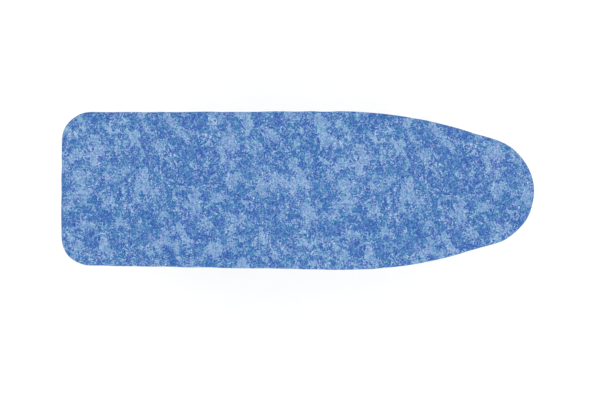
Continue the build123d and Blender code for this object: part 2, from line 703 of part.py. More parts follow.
# --- Lock rod: an eye on the slider rod, and a bar that stays in the brake when the board is folded
bar_start_x = slider_x + lock_eye_diameter / 2 - lock_eye_weld
bar_end_x = slider_x + (housing_x[1] + stop_length - slider_folded_x)
stop_start_x = bar_end_x - (stop_length - stop_end_wall)
eye_ends = (-lock_eye_length / 2, lock_eye_length / 2)
with BuildPart() as lock_rod:
    rod_across(slider_x, hinge_z, eye_ends, lock_eye_diameter / 2)
    with BuildSketch(Plane.YZ.offset(bar_start_x)):
        with Locations((0, hinge_z)):
            Circle(lock_rod_diameter / 2)
    extrude(amount=bar_end_x - bar_start_x)
    rod_across(slider_x, hinge_z, eye_ends, rod_bore, mode=Mode.SUBTRACT)
finish(lock_rod, "lock_rod")
with BuildPart() as lock_rod_stop:
    with BuildSketch(Plane.YZ.offset(stop_start_x)):
        with Locations((0, hinge_z)):
            Circle(stop_diameter / 2)
    extrude(amount=stop_length)
    fillet(lock_rod_stop.faces().sort_by(Axis.X)[-1].edges(), stop_end_wall)
    with BuildSketch(Plane.YZ.offset(stop_start_x)):
        with Locations((0, hinge_z)):
            Circle(lock_rod_diameter / 2 + running_clearance)
    extrude(amount=stop_length - stop_end_wall, mode=Mode.SUBTRACT)
finish(lock_rod_stop, "lock_rod_stop")

# --- Lever shaft, through the housing and the bearing to the arm, and the clip on its inner end
clip_y = housing_width / 2 + clip_gap
shaft_ends = (-arm_inner_y - arm_thickness - shaft_end, clip_y + clip_width + shaft_end)
with BuildPart() as lever_shaft:
    rod_across(brake_x, shaft_z, shaft_ends, shaft_diameter / 2)
finish(lever_shaft, "lever_shaft")
with BuildPart() as shaft_clip:
    clip_radius = shaft_diameter / 2 + clip_wall
    rod_across(brake_x, shaft_z, (clip_y, clip_y + clip_width), clip_radius, shaft_bore)
finish(shaft_clip, "shaft_clip")

# --- Clamp plate: hangs from the shaft round the lock rod, tilted so that its hole grips the rod
tilt = math.radians(plate_tilt)
plate_length = shaft_above_rod + plate_below_rod
plate_plane = Plane(
    origin=(brake_x, 0, shaft_z),
    x_dir=(0, 1, 0),
    z_dir=(math.cos(tilt), 0, -math.sin(tilt)),
)
with BuildPart() as clamp_plate:
    with BuildSketch(plate_plane):
        with Locations((0, -plate_length / 2)):
            Rectangle(plate_width, plate_length)
        with Locations((0, -shaft_above_rod / math.cos(tilt))):
            Circle(lock_rod_diameter / 2 + plate_hole_clearance, mode=Mode.SUBTRACT)
    extrude(amount=plate_thickness / 2, both=True)
    hub = (-plate_width / 2, plate_width / 2)
    rod_across(brake_x, shaft_z, hub, shaft_diameter / 2 + plate_hub_wall)
    rod_across(brake_x, shaft_z, hub, shaft_bore, mode=Mode.SUBTRACT)
finish(clamp_plate, "clamp_plate")

# --- Lever arm: a flat steel bar, cranked down from the shaft and along to the grip
arm_z = shaft_z - arm_drop
arm_end_x = brake_x + arm_length
arm_y = (-arm_inner_y - arm_thickness, -arm_inner_y)
arm_middle_y = (arm_y[0] + arm_y[1]) / 2
with BuildPart() as lever_arm:
    with BuildSketch(side_plane(arm_middle_y)):
        with BuildLine():
            FilletPolyline(
                (brake_x, shaft_z), (brake_x + arm_drop, arm_z), (arm_end_x, arm_z), radius=arm_height
            )
        trace(line_width=arm_height)
        with Locations((brake_x, shaft_z)):
            Circle(arm_boss_diameter / 2)
            Circle(shaft_bore, mode=Mode.SUBTRACT)
    extrude(amount=arm_thickness / 2, both=True)
finish(lever_arm, "lever_arm")

# --- Grip: moulded plastic, pushed over the end of the arm
grip_x = (arm_end_x + grip_end_wall - grip_length, arm_end_x + grip_end_wall)
grip_y = (arm_middle_y - grip_width / 2, arm_middle_y + grip_width / 2)
slot_half_width = arm_thickness / 2 + running_clearance
slot_half_height = arm_height / 2 + running_clearance
with BuildPart() as lever_grip:
    block(grip_x, grip_y, (arm_z - grip_height / 2, arm_z + grip_height / 2))
    fillet(lever_grip.edges().filter_by(Axis.X), grip_edge_radius)
    fillet(lever_grip.faces().sort_by(Axis.X)[-1].edges(), grip_end_wall)
    block(
        (grip_x[0], arm_end_x),
        (arm_middle_y - slot_half_width, arm_middle_y + slot_half_width),
        (arm_z - slot_half_height, arm_z + slot_half_height),
        mode=Mode.SUBTRACT,
    )
finish(lever_grip, "lever_grip")
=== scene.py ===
# %% [markdown]
# # A folding ironing board
#
# An ironing board is a flat steel deck on crossed tube legs. A felt pad lies on the deck, and a
# printed cotton cover is stretched over both and held underneath by elastic in its hem. The steel
# comes from the frame, which fixes every size and every joint. What is made here is the cloth and
# the moulded parts, and every finish.

# %% Load the frame
import json
import math

import bmesh
import bpy
import numpy as np
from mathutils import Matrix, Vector, noise


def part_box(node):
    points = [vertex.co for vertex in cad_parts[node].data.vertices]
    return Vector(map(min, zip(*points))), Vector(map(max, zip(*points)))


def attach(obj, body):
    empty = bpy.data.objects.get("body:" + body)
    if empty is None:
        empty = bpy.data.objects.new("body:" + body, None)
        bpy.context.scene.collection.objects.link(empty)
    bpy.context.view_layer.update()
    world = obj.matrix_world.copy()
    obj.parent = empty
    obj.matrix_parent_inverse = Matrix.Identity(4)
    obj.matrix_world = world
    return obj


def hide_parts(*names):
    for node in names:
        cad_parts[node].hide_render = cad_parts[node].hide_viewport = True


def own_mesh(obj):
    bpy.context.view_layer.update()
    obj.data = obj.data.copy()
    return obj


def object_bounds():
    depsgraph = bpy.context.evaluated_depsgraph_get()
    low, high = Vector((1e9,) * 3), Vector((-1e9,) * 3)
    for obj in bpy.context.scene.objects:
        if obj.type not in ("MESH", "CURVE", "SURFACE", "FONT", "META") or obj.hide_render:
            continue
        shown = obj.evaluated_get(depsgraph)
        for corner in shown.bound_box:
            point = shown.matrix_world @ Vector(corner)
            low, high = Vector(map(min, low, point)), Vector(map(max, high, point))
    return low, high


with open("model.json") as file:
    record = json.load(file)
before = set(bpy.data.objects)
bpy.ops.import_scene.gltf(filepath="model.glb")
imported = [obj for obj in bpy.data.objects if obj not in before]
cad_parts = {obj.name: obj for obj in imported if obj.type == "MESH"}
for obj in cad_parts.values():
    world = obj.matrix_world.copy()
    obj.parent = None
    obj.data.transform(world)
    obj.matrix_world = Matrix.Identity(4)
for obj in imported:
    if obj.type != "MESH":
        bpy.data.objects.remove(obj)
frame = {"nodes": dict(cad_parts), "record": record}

cad_low, cad_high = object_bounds()
MM = 0.001
print("board, mm:", [round((high - low) / MM) for low, high in zip(cad_low, cad_high)])

# %% [markdown]
# ## Helpers for finishes
#
# Colours are easiest to pick as sRGB hex, as on a paint card, but Blender mixes light in linear
# values, so one function turns the one into the other. Another adds any kind of node, with its
# settings and its links, and gives back one of its outputs, ready to be linked on. Anything that
# is the same all over a surface is set straight on the shader's own socket, when the material is
# started.


# %% Colours, nodes and materials
def linear(hex_colour):
    """An sRGB hex colour as linear red, green, blue and alpha."""
    shares = [int(hex_colour[i : i + 2], 16) / 255 for i in (1, 3, 5)]
    return [s / 12.92 if s <= 0.04045 else ((s + 0.055) / 1.055) ** 2.4 for s in shares] + [1.0]


def feed(node, inputs):
    """Gives each of a node's inputs, by name or number, another node's output, a hex colour or a
    plain value."""
    for name, value in inputs.items():
        if isinstance(value, bpy.types.NodeSocket):
            node.id_data.links.new(value, node.inputs[name])
        else:
            node.inputs[name].default_value = linear(value) if isinstance(value, str) else value


def add_node(tree, kind, inputs, output=0, **settings):
    """Adds a node and gives back one of its outputs. Two kinds are used with numbered inputs. Mix
    has its share at 0, its two colours at 6 and 7, and the mixed colour as output 2. Map Range has
    its value at 0, the range that it is taken from at 1 and 2, and the range that it is stretched
    to at 3 and 4, or else 0 to 1."""
    made = tree.nodes.new("ShaderNode" + kind)
    for name, value in settings.items():
        setattr(made, name, value)
    feed(made, inputs)
    return made.outputs[output]


SOFTNESS = 0.6  # how much each finer layer of a noise still counts


def new_material(name, same_all_over):
    """Starts a material. Gives back the material, its node tree and its shader."""
    material = bpy.data.materials.new(name)
    material.use_nodes = True
    shader = material.node_tree.nodes["Principled BSDF"]
    feed(shader, same_all_over)
    return material, material.node_tree, shader


print("mid grey #808080 in linear light:", round(linear("#808080")[0], 3))

# %% [markdown]
# ## The printed cotton
#
# The cover is plain-woven cotton with a mottled print, like marbled or batik-dyed cloth: feathery
# pale leaves and deep blue ones lie over a web of fine pale cracks. A picture could be pasted on,
# but a print built from noise stays sharp at any distance. Cloth is printed from a cylinder, and
# each turn repeats the pattern. So the pattern is read from the surface of that same cylinder:
# the cloth is rolled round it in thought, and the noise is looked up there, which repeats without
# a seam. The cloth itself is matt, with a faint bloom of loose fibres at glancing angles.

# %% The cloth, rolled round the printing cylinder
PRINT_REPEAT = 640 * MM  # the girth of a rotary printing screen
GRAIN_TURN = 1.6  # degrees that the cloth was cut off the board's axis
CREEP = 17 * MM  # how far the dye's edges are pushed about
cylinder_radius = PRINT_REPEAT / math.tau
cotton, tree, shader = new_material(
    "printed_cotton",
    {"Roughness": 0.88, "Sheen Weight": 0.08, "Sheen Roughness": 0.5, "Specular IOR Level": 0.2},
)
flat = add_node(tree, "UVMap", {}, uv_map="cloth")
turned = add_node(tree, "Mapping", {"Vector": flat, "Rotation": (0, 0, math.radians(GRAIN_TURN))})
along, across = add_node(tree, "SeparateXYZ", {0: turned}).node.outputs[:2]


def roll_up(slant, stretch):
    """The cloth's place on the cylinder. A slant and a stretch draw every blot that is looked up
    there out along a diagonal, and it still meets itself after one turn."""
    angle = add_node(tree, "Math", {0: across, 1: slant, 2: along}, operation="MULTIPLY_ADD")
    angle = add_node(tree, "Math", {0: angle, 1: cylinder_radius}, operation="DIVIDE")
    round_it = [add_node(tree, "Math", {0: angle}, operation=way) for way in ("COSINE", "SINE")]
    up = add_node(tree, "Math", {0: across, 1: stretch / cylinder_radius}, operation="MULTIPLY")
    place = add_node(tree, "CombineXYZ", {0: round_it[0], 1: round_it[1], 2: up})
    size = (cylinder_radius,) * 3
    return add_node(tree, "VectorMath", {0: place, 1: size}, operation="MULTIPLY")


rolled = roll_up(slant=0.0, stretch=1.0)
slanted = roll_up(slant=0.25, stretch=0.85)
soft = {"Vector": rolled, "Roughness": SOFTNESS}
push = add_node(tree, "TexNoise", {**soft, "Scale": 1 / (8 * MM), "Detail": 3}, "Color")
push = add_node(tree, "VectorMath", {0: push, 1: (0.5, 0.5, 0.5)}, operation="SUBTRACT")
rolled_crept, slanted_crept = (
    add_node(tree, "VectorMath", {0: push, 1: (CREEP,) * 3, 2: place}, operation="MULTIPLY_ADD")
    for place in (rolled, slanted)
)
print(f"cylinder: {cylinder_radius / MM:.0f} mm in radius, {PRINT_REPEAT / MM:.0f} mm round")

# %% Fine marks: veins that break off, hairs between them, grain and wide pools
FINE_MARKS = {  # size, detail, distortion, and weight in the tone; the breaks only break up veins
    "veins": (11 * MM, 2, 0.4, 0.36),
    "hairs": (6.5 * MM, 2, 0.4, 0.22),
    "grains": (3.6 * MM, 1, 0.0, 0.72),
    "pools": (75 * MM, 1, 0.0, 0.05),
    "breaks": (12 * MM, 1, 0.0, 0.0),
}
marks = {}
for name, (size, detail, distortion, _) in FINE_MARKS.items():
    inputs = {"Scale": 1 / size, "Detail": detail, "Distortion": distortion}
    marks[name] = add_node(tree, "TexNoise", soft | inputs)
for name, width in (("veins", 0.045), ("hairs", 0.055)):
    # Thin lines, where the noise crosses its middle value
    off_middle = add_node(tree, "Math", {0: marks[name], 1: 0.5}, operation="SUBTRACT")
    off_middle = add_node(tree, "Math", {0: off_middle}, operation="ABSOLUTE")
    marks[name] = add_node(tree, "MapRange", {0: off_middle, 1: 0.0, 2: width, 3: 1.0, 4: 0.0})
marks["pools"] = add_node(tree, "MapRange", {0: marks["pools"], 1: 0.40, 2: 0.60})
broken = add_node(tree, "MapRange", {0: marks.pop("breaks"), 1: 0.40, 2: 0.50})
marks["veins"] = add_node(tree, "Math", {0: marks["veins"], 1: broken}, operation="MULTIPLY")
tone = -0.08  # the deepest tone, before any mark is added
for name, value in marks.items():
    weight = FINE_MARKS[name][-1]
    tone = add_node(tree, "Math", {0: value, 1: weight, 2: tone}, operation="MULTIPLY_ADD")
print("fine marks, mm:", {name: round(row[0] / MM, 1) for name, row in FINE_MARKS.items()})

# %% Flat leaves of pale and of deep dye, over the fine marks
LEAVES = [  # size, the noise outside and inside their edge, how much they hide, and their tone
    (31 * MM, 0.450, 0.420, 0.42, 0.29),
    (31 * MM, 0.575, 0.605, 0.55, 0.63),
    (13 * MM, 0.610, 0.640, 0.50, 0.62),
]
GRAIN_IN_LEAVES = 0.4
faint = add_node(tree, "Math", {0: marks["grains"], 1: 0.5}, operation="SUBTRACT")
for size, outside, inside, hiding, leaf_tone in LEAVES:
    inputs = {"Vector": slanted_crept, "Roughness": SOFTNESS, "Scale": 1 / size, "Detail": 1}
    leaf = add_node(tree, "TexNoise", inputs)
    leaf = add_node(tree, "MapRange", {0: leaf, 1: outside, 2: inside})
    inputs = {0: faint, 1: GRAIN_IN_LEAVES, 2: leaf_tone}
    flat_tone = add_node(tree, "Math", inputs, operation="MULTIPLY_ADD")
    tone = add_node(tree, "MapRange", {0: leaf, 1: 0.0, 2: 1 / hiding, 3: tone, 4: flat_tone})
print(len(LEAVES), "layers of leaves")

# %% The dyes, and the weave
DYES = [
    (0.20, "#205297"),
    (0.28, "#2F60A2"),
    (0.345, "#3D6BAA"),
    (0.41, "#4F79B1"),
    (0.475, "#658AB9"),
    (0.545, "#7B9CC3"),
    (0.62, "#8EABCD"),
    (0.72, "#A3BAD7"),
    (0.86, "#BACCE2"),
]
DYE_FLAT = 0.022  # how far each dye stays flat, either side of its place in the ramp
THREAD = 0.9 * MM  # real thread spacing is 0.4 mm, drawn wider so that it shows up close
dyed = add_node(tree, "ValToRGB", {0: tone})
stops = dyed.node.color_ramp.elements
for place, colour in DYES:  # each dye prints flat, and bleeds only a little into the next
    for side in (-DYE_FLAT, DYE_FLAT):
        stops.new(place + side).color = linear(colour)
for end in (stops[-1], stops[0]):
    stops.remove(end)
inputs = {"Vector": rolled_crept, "Roughness": SOFTNESS, "Scale": 1 / (16 * MM), "Detail": 1}
hue = add_node(tree, "TexNoise", inputs)
hue = add_node(tree, "MapRange", {0: hue, 1: 0.36, 2: 0.64, 3: 0.488, 4: 0.512})
dyed = add_node(tree, "HueSaturation", {"Color": dyed, "Hue": hue})
# Plain weave: warp and weft pass over each other like a chequerboard of small pillows
weave = add_node(tree, "TexChecker", {"Vector": flat, "Scale": 1 / THREAD}, "Fac")
weave = add_node(tree, "Bump", {"Height": weave, "Distance": 0.05 * MM})
feed(shader, {"Base Color": dyed, "Normal": weave})
print(cotton.name, "has", len(tree.nodes), "nodes and", len(DYES), "dyes")

# %% [markdown]
# ## Camera and light
#
# The board is seen from straight above, as in a shop's catalogue: a long lens high over the
# middle, turned by under half a degree, because nobody hangs a camera perfectly square. The room
# is a soft white tent. A bright surrounding and one wide lamp overhead leave hardly a shadow, and
# a small lamp from the side gives the tubes an edge in other views.

# %% Camera
EDGE_RADIUS = 6 * MM  # of the cover's upper edge
cover_low, cover_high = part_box("cover")
LENS = 85.0
VIEW_WIDTH = 1.449  # metres across the picture, at the height of the board's edge
OFF_CENTRE = (5.5 * MM, -23.3 * MM)
CAMERA_TURN = 0.435  # degrees
edge_height = cover_high.z - EDGE_RADIUS
camera_data = bpy.data.cameras.new("camera")
camera_data.lens = LENS
camera = bpy.data.objects.new("camera", camera_data)
bpy.context.scene.collection.objects.link(camera)
distance = VIEW_WIDTH * LENS / camera_data.sensor_width
camera.location = (*OFF_CENTRE, edge_height + distance)
camera.rotation_euler = (0, 0, math.radians(CAMERA_TURN))
bpy.context.scene.camera = camera
print(f"camera is {distance:.2f} m above the board")

# %% Light, floor and surroundings
bpy.context.scene.view_settings.view_transform = "Standard"
world = bpy.data.worlds.new("white_tent")
bpy.context.scene.world = world
world.use_nodes = True
tent = world.node_tree.nodes["Background"]
feed(tent, {"Color": "#FFFFFF", "Strength": 0.95})
BOARD_MIDDLE = (0, 0, 0.8)
FLOOR_WIDTH = 80  # metres, so that its edge is never seen


def add_lamp(name, place, size, power):
    """A square soft lamp that points at the middle of the board."""
    data = bpy.data.lights.new(name, "AREA")
    data.size = size
    data.energy = power
    lamp = bpy.data.objects.new(name, data)
    bpy.context.scene.collection.objects.link(lamp)
    lamp.location = place
    way = Vector(BOARD_MIDDLE) - Vector(place)
    lamp.rotation_euler = way.to_track_quat("-Z", "Y").to_euler()


add_lamp("overhead_lamp", place=(-0.4, 0.5, 6.0), size=5.0, power=75)
add_lamp("side_lamp", place=(2.6, -2.8, 1.6), size=1.2, power=24)


def pick_nothing():
    """Leaves nothing selected, so that an operator works only on what is made next."""
    if bpy.context.object and bpy.context.object.mode != "OBJECT":
        bpy.ops.object.mode_set(mode="OBJECT")
    bpy.ops.object.select_all(action="DESELECT")


pick_nothing()
bpy.ops.mesh.primitive_plane_add(size=FLOOR_WIDTH)
floor = bpy.context.object
floor.name = "floor"
floor_paint, tree, shader = new_material("matt_white_floor", {"Roughness": 0.9})
place = add_node(tree, "TexCoord", {}, "Object")
soft = {"Vector": place, "Roughness": SOFTNESS}
mottle = add_node(tree, "TexNoise", {**soft, "Scale": 1 / (400 * MM), "Detail": 1})
tone = add_node(tree, "Mix", {0: mottle, 6: "#FAFAFA", 7: "#FDFDFD"}, 2, data_type="RGBA")
feed(shader, {"Base Color": tone})
floor.data.materials.append(floor_paint)
print(len(bpy.data.lights), "lamps over a floor", FLOOR_WIDTH, "m wide")

# %% [markdown]
# ## The outline that all the cloth follows
#
# Cover, pad and elastic are all cut to the deck's outline. It is read from the frame's own cover:
# its outermost points, seen from above, make one half of a smooth closed curve, and the other
# half is the mirror of it. The curve is walked in even steps, and at each step the way straight
# outwards is kept, because every layer of cloth is this same curve, moved in or out.

# %% The outline, walked in even steps
FINE = 1200  # steps round the hem, where the gathers are
SKIP = 3  # the rings on top keep one point in three
COARSE = FINE // SKIP
ROUNDING = 12  # passes that round off the small flats between the frame's points
BEND_SPAN = 6  # steps each way over which the outline's bend is measured


def lower_edge(points):
    """The lower half of the points' outer boundary, from the tail's middle to the nose's tip."""
    chain = []
    for x, y in sorted(points):
        while len(chain) > 1:
            (ax, ay), (bx, by) = chain[-2:]
            if (bx - ax) * (y - ay) - (by - ay) * (x - ax) > 0:
                break
            chain.pop()
        chain.append((x, y))
    return np.array([(chain[0][0], 0.0), *chain, (chain[-1][0], 0.0)])


def walk(chain, steps):
    """Even steps along a chain of points."""
    runs = np.hypot(*np.diff(chain, axis=0).T)
    reached = np.concatenate([[0], np.cumsum(runs)])
    wanted = np.linspace(0, reached[-1], steps + 1)
    return np.stack([np.interp(wanted, reached, chain[:, i]) for i in (0, 1)], axis=1)


seen = {(round(v.co.x, 6), round(v.co.y, 6)) for v in frame["nodes"]["cover"].data.vertices}
half = walk(lower_edge(seen), FINE // 2)
outline = np.concatenate([half, (half * (1, -1))[-2:0:-1]])
for _ in range(ROUNDING):
    outline = (np.roll(outline, 1, axis=0) + 2 * outline + np.roll(outline, -1, axis=0)) / 4
ahead = np.roll(outline, -1, axis=0) - np.roll(outline, 1, axis=0)
outward = np.stack([ahead[:, 1], -ahead[:, 0]], axis=1) / np.hypot(*ahead.T)[:, None]
after = np.roll(outline, -1, axis=0)
girth = np.hypot(*(after - outline).T).sum()
turning = np.unwrap(np.arctan2(outward[:, 1], outward[:, 0]))
turned_by = (np.roll(turning, -BEND_SPAN) - np.roll(turning, BEND_SPAN)) % math.tau
bend = turned_by / (2 * BEND_SPAN * girth / FINE)

# %% [markdown]
# ## The cover
#
# A cover is one sheet of cloth, wider than the board all round. It lies flat on top, turns down
# over the edge and runs back underneath to a hem with elastic in it. Cloth simulation could pull
# it tight, but a stretched cover shows almost nothing of that on top, so it is modelled directly:
# rings of points run from the middle of the board out over the edge and back under it. Round the
# corners and the nose there is more cloth than the hem needs, and the elastic draws it into
# gathers, so the waves are deepest there.

# %% Waves in the cloth
GATHER = 17 * MM  # from one gather to the next
STRAIGHT_WAVE = 0.4 * MM  # height of a gather along the straight sides
CURVED_WAVE = 2.3 * MM  # what is added to it round the nose
NOSE_BEND = 9.0  # how tightly the outline turns at the nose, one over its radius
FADING = 60  # passes that fade the gathers out along the sides
SLACK_BUMPS = 9  # how often the slack comes and goes round the board
rng = np.random.default_rng(7)
gather_count = round(girth / GATHER)
spot = np.arange(FINE) / FINE * math.tau
drift = sum(
    rng.uniform(0.3, 1.2) * np.sin(k * spot + rng.uniform(0, math.tau))
    for k in (2, 3, 5, 9, 14, 21)
)
fold = np.sin(gather_count * spot + drift)
fold += 0.35 * np.sin(math.floor(1.7 * gather_count) * spot + 2 * drift)
curved = np.clip(bend / NOSE_BEND, 0, 1)
for _ in range(FADING):
    curved = (np.roll(curved, 1) + 2 * curved + np.roll(curved, -1)) / 4
gathers = fold * (STRAIGHT_WAVE + CURVED_WAVE * curved)

circle = [(SLACK_BUMPS * math.cos(a), SLACK_BUMPS * math.sin(a), 0.3) for a in spot]
wander = np.array([noise.noise(Vector(place)) for place in circle])
slack = (0.45 + 0.65 * np.tanh(3 * wander)) * MM  # how far the cloth stands off the edge
print(f"{gather_count} gathers, up to {gathers.max() / MM:.1f} mm high")


def smooth_share(value):
    """0 to 1, gently at both ends."""
    value = np.clip(value, 0, 1)
    return value * value * (3 - 2 * value)


# %% The cover's section, from the top round the edge to the hem
CLOTH = 0.4 * MM
RIM_GAP = 1 * MM  # between the rim tube and the cloth under it
SEAM_GAP = 2 * MM  # from the stitches to the elastic
top_z = cover_high.z
under_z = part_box("rim_tube")[0].z - RIM_GAP
elastic_low, elastic_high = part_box("hem_elastic")
elastic_inset = elastic_low.x - cover_low.x
elastic_z = (elastic_low.z + elastic_high.z) / 2
stitch_inset = elastic_inset - SEAM_GAP
quarter = [math.radians(a) for a in range(0, 91, 15)]
turns = [(EDGE_RADIUS * (1 - math.sin(a)), EDGE_RADIUS * (1 - math.cos(a))) for a in quarter]
section = [(inset, top_z - drop) for inset, drop in turns]
section += [(0.0, top_z + share * (under_z - top_z)) for share in (0.4, 0.55)]
coarse_rows = len(section)
section += [(inset, under_z + rise) for rise, inset in turns]
section += [(inset * MM, under_z) for inset in (10, 14, 18, 22, 26, 30)]
section += [(stitch_inset - 0.8 * MM, under_z), (stitch_inset, under_z + 0.25 * MM)]
# The hem's casing, back up round the elastic: mm in from the stitches, and mm above the elastic
casing = [(1.2, 0.0), (3.0, -1.2), (5.5, -1.4), (7.6, -1.0), (8.8, 0.1), (8.7, 1.1)]
casing += [(7, 1.5), (4, 1.6), (1, 1.6)]
section += [(stitch_inset + inset * MM, elastic_z + lift * MM) for inset, lift in casing]
unrolled = np.concatenate([[0], np.cumsum(np.hypot(*np.diff(section, axis=0).T))])
print(f"cloth beyond the top's flat: {unrolled[-1] / MM:.0f} mm")

# %% Rings of points
SLACK_REACH = 14 * MM  # how far in from the edge the slack dies out
SLACK_DEPTH = 5 * MM  # how far down from the top it grows to its full size
GATHER_START = 8 * MM  # how far in from the edge the gathers begin
GATHER_GROWTH = 26 * MM  # and over what width they grow
UNDERSIDE = 5 * MM  # only cloth within this height of the underside is gathered
SWAY = 0.3  # how far a gather also moves in and out, as a share of its height
SPINE_ENDS = (150 * MM, 120 * MM)  # from the board's ends to the ends of its middle line
RIPPLE = 0.2 * MM  # how far the flat top is from flat
RIPPLES_PER_METRE = 14


def ring(inset, height, every=1):
    """The outline moved in by inset, at a height, with the slack and the gathers of that place."""
    stand_off = slack * smooth_share(1 - inset / SLACK_REACH)
    stand_off = stand_off * smooth_share((top_z - height) / SLACK_DEPTH)
    underneath = height < under_z + UNDERSIDE
    share = smooth_share((inset - GATHER_START) / GATHER_GROWTH) if underneath else 0.0
    flat = outline + outward * (stand_off - inset + SWAY * share * gathers)[:, None]
    rise = height + share * gathers
    return np.column_stack([flat, np.broadcast_to(rise, FINE)])[::every]


def top_ring(share, inset, height):
    """A ring on the flat top. Share 1 is the outline moved in by inset, and share 0 is the board's
    middle line."""
    edge = outline - outward * inset
    ends = (cad_low.x + SPINE_ENDS[0], cad_high.x - SPINE_ENDS[1])
    middle = np.column_stack([np.clip(edge[:, 0], *ends), np.zeros(FINE)])
    flat = (middle + share * (edge - middle))[::SKIP]
    looked_up = [Vector((*place, 5.0)) for place in flat * RIPPLES_PER_METRE]
    rise = RIPPLE * (1 - share**4) * np.array([noise.noise(place) for place in looked_up])
    return np.column_stack([flat, height + rise])


print("points in a ring on top and at the hem:", len(ring(0, top_z, SKIP)), len(ring(0, top_z)))


# %% Meshes from rings
def strip(rows):
    """Faces between each ring and the next. Where the next ring has three times the points, a quad
    becomes a quad and two triangles."""
    faces = []
    start = 0
    for now, after in zip(rows, rows[1:]):
        n, m, other = len(now), len(after), start + len(now)
        for i in range(n):
            j = (i + 1) % n
            if n == m:
                faces.append((start + i, other + i, other + j, start + j))
                continue
            a, b, c, d = (other + (SKIP * i + k) % m for k in range(SKIP + 1))
            faces += [(start + i, a, b), (start + i, b, c, start + j), (start + j, c, d)]
        start = other
    return faces


def new_piece(name, points, faces, material):
    """An object at the origin with its place in its mesh."""
    mesh = bpy.data.meshes.new(name)
    mesh.from_pydata([tuple(p) for p in points], [], faces)
    mesh.materials.append(material)
    piece = bpy.data.objects.new(name, mesh)
    bpy.context.scene.collection.objects.link(piece)
    return piece


def tidy_mesh(piece, nearest=0.02 * MM):
    """Joins points that coincide, turns every face outwards and shades the piece smooth."""
    mesh = bmesh.new()
    mesh.from_mesh(piece.data)
    bmesh.ops.remove_doubles(mesh, verts=mesh.verts, dist=nearest)
    bmesh.ops.recalc_face_normals(mesh, faces=mesh.faces)
    mesh.to_mesh(piece.data)
    mesh.free()
    piece.data.polygons.foreach_set("use_smooth", [True] * len(piece.data.polygons))


def work_on(piece):
    """Leaves only this piece selected and active."""
    pick_nothing()
    piece.select_set(True)
    bpy.context.view_layer.objects.active = piece


# %% The cover's mesh, with its flat place kept as a UV map in metres
TOP_RINGS = 28
rows = [top_ring(k / TOP_RINGS, section[0][0], top_z) for k in range(TOP_RINGS)]
rows += [ring(inset, height, SKIP) for inset, height in section[:coarse_rows]]
rows += [ring(inset, height) for inset, height in section[coarse_rows:]]
edge_line = outline - outward * section[0][0]
flat_rows = [row[:, :2] for row in rows[:TOP_RINGS]]
flat_rows += [(edge_line + outward * way)[::SKIP] for way in unrolled[:coarse_rows]]
flat_rows += [edge_line + outward * way for way in unrolled[coarse_rows:]]
flat_place = np.concatenate(flat_rows)
cover = new_piece("cover_cloth", np.concatenate(rows), strip(rows), cotton)
layout = cover.data.uv_layers.new(name="cloth")
corners = [flat_place[loop.vertex_index] for loop in cover.data.loops]
layout.data.foreach_set("uv", np.array(corners).ravel())
tidy_mesh(cover)
work_on(cover)
thicken = cover.modifiers.new("cloth_thickness", "SOLIDIFY")
thicken.thickness = CLOTH
thicken.offset = -1
bpy.ops.object.modifier_apply(modifier=thicken.name)
print("cover:", len(cover.data.polygons), "faces")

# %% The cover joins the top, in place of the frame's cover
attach(cover, "top")
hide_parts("cover")

# %% [markdown]
# ## Stitches, elastic and felt
#
# The hem is folded over the elastic and sewn down with one row of thread. Thread is thin, but
# from underneath the row is what tells a sewn hem from a moulded lip, so each stitch is a small
# rounded bar of its own, laid along the stitch line. The elastic is a flat braid inside the
# casing, so it follows every gather. The felt is a dense needled mat, pressed thin where the
# cover pulls it over the edge.

# %% The row of stitches
STITCH = 3.4 * MM  # length of one stitch, and a short gap to the next
THREAD_WIDTH = 0.55 * MM
SIDES = 6
SUNK = 0.3 * MM  # how far the thread pulls itself into the cloth
STITCH_RINGS = [  # place along the stitch, share of the full thickness, and how deep it lies
    (0.04, 0.35, 0.5),
    (0.20, 1.0, 0.1),
    (0.62, 1.0, 0.1),
    (0.78, 0.35, 0.5),
]
seam = ring(stitch_inset, under_z - 0.05 * MM)
seam_runs = np.hypot(*(np.roll(seam, -1, axis=0) - seam)[:, :2].T)
seam_reached = np.concatenate([[0], np.cumsum(seam_runs)])
closed_seam = np.vstack([seam, seam[:1]])
stitch_count = round(seam_reached[-1] / STITCH)


def on_seam(way):
    """The point of the stitch line that is this far along it."""
    way %= seam_reached[-1]
    return np.array([np.interp(way, seam_reached, closed_seam[:, i]) for i in range(3)])


def stitch(start):
    """Points and faces of one stitch: a six-sided bar that dips into the cloth at both ends."""
    points = []
    for share, swell, dip in STITCH_RINGS:
        here = on_seam(start + share * STITCH)
        along = on_seam(start + (share + 0.05) * STITCH) - here
        aside = np.cross(along / np.linalg.norm(along), (0, 0, 1))
        thick = THREAD_WIDTH / 2 * swell
        for k in range(SIDES):
            turn = math.tau * k / SIDES
            lift = thick * math.sin(turn) + dip * THREAD_WIDTH - SUNK
            points.append(here + aside * thick * math.cos(turn) + (0, 0, lift))
    last = len(points)
    faces = []
    for low in range(0, last - SIDES, SIDES):
        for k in range(SIDES):
            after = (k + 1) % SIDES
            faces.append((low + k, low + after, low + SIDES + after, low + SIDES + k))
    return points, [*faces, tuple(range(SIDES - 1, -1, -1)), tuple(range(last - SIDES, last))]


print(f"the seam is {seam_reached[-1]:.2f} m long")

